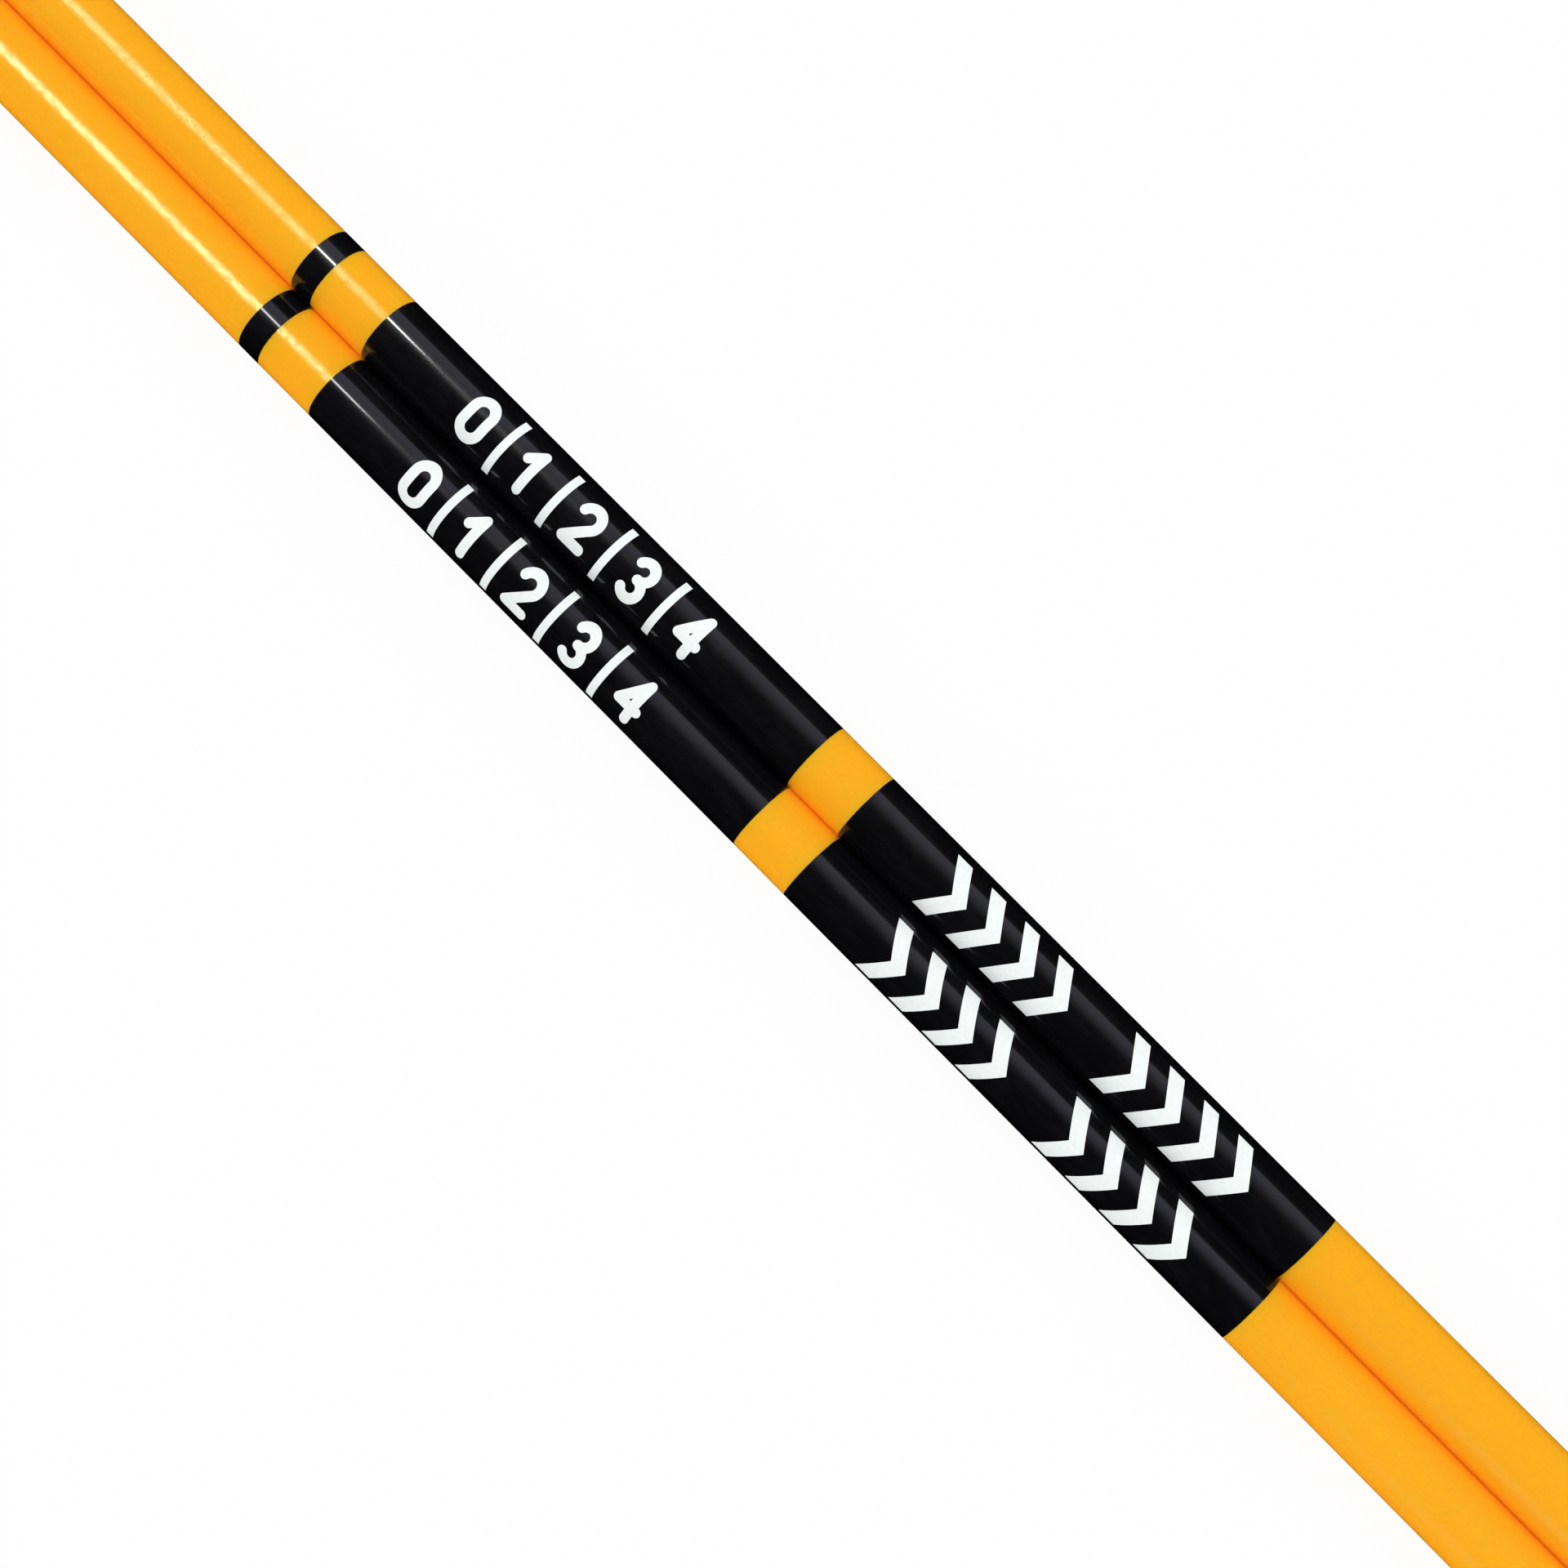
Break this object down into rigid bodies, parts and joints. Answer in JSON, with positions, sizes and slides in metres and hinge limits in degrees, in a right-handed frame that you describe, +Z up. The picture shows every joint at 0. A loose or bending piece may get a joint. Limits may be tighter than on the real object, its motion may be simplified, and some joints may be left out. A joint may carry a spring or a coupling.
{
  "type": "alignment stick",
  "caption": "Straight round fibreglass golf alignment sticks, side by side, with black printed bands, pull-off tip guards over the ground points and domed butt caps.",
  "frame": {"origin": "on the floor under the pair, midway between the sticks and midway along them", "axes": "+X along the sticks from the pointed ends to the butt ends, the way the marks read; +Y from stick A to stick B; +Z up, the way the prints face"},
  "size_m": [1.2194, 0.016, 0.0081],
  "materials": {
    "fibreglass_yellow": "pultruded glass fibre, pigmented orange-yellow right through, satin gloss with fine lengthwise fibres",
    "film_black": "gloss black film",
    "ink_white": "white printed ink",
    "cap_black": "moulded, fine matt texture",
    "guard_black": "soft vinyl, satin"
  },
  "bodies": {
    "stick_a": {"rod_a": "fibreglass_yellow", "butt_cap_a": "cap_black", "ring_film_a": "film_black", "scale_film_a": "film_black", "arrow_film_a": "film_black", "scale_print_a": "ink_white", "arrow_print_a": "ink_white"},
    "stick_b": {"rod_b": "fibreglass_yellow", "butt_cap_b": "cap_black", "ring_film_b": "film_black", "scale_film_b": "film_black", "arrow_film_b": "film_black", "scale_print_b": "ink_white", "arrow_print_b": "ink_white"},
    "guard_a": {"tip_guard_a": "guard_black"},
    "guard_b": {"tip_guard_b": "guard_black"}
  },
  "joints": [
    {"name": "stick_b_apart", "type": "slide", "parent": "stick_a", "child": "stick_b", "axis": [0, 1, 0], "range_m": [0, 0.06]},
    {"name": "guard_a_pull", "type": "slide", "parent": "stick_a", "child": "guard_a", "axis": [-1, 0, 0], "range_m": [0, 0.045]},
    {"name": "guard_b_pull", "type": "slide", "parent": "stick_b", "child": "guard_b", "axis": [-1, 0, 0], "range_m": [0, 0.045]}
  ]
}
